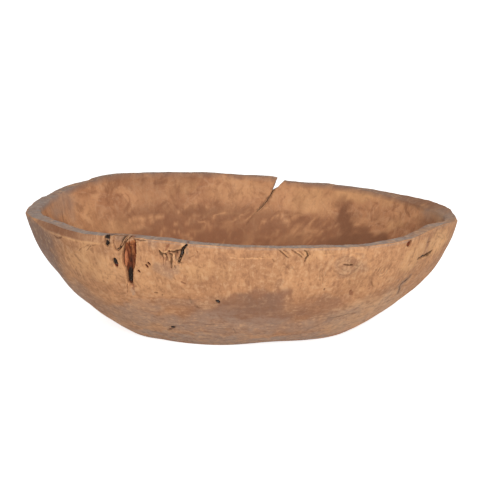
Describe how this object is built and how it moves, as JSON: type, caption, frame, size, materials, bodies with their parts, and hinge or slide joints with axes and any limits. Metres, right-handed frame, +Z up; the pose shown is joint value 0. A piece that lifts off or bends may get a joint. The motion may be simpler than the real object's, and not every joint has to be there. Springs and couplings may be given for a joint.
{
  "type": "wooden bowl",
  "caption": "Oval hand-hewn wooden bowl dug from one burr, with a wavy worn rim, a split in the back rim and ingrown bark and dead knots seated in pockets of its wall.",
  "frame": {"origin": "on the table, under the middle of the bowl", "axes": "+X along the long way of the oval, to the right seen from the front; +Y from the front to the back; +Z up"},
  "size_m": [0.4265, 0.3189, 0.13],
  "materials": {
    "burr_wood": "dry, unsealed, with a grey weathered rim",
    "knot_wood": "dry",
    "ingrown_bark": "rough",
    "bark_slip": "rough",
    "pitch": "rough, blackened"
  },
  "bodies": {
    "root": {"bowl_body": "burr_wood", "rim_knot": "knot_wood", "rim_knot_bark": "pitch", "pocket_bark_lining": "ingrown_bark", "pocket_bark_slip": "bark_slip", "pocket_pitch_core": "pitch", "rim_bark_wedge": "pitch", "oval_bark_plug": "ingrown_bark", "pin_knot_low": "ingrown_bark", "pin_knot_mid": "ingrown_bark", "pin_knot_high": "ingrown_bark", "right_pin_knot": "ingrown_bark", "low_pitch_plug": "pitch", "middle_pitch_plug": "pitch", "burr_bark_seam": "pitch", "right_bark_seam": "pitch"}
  },
  "joints": []
}
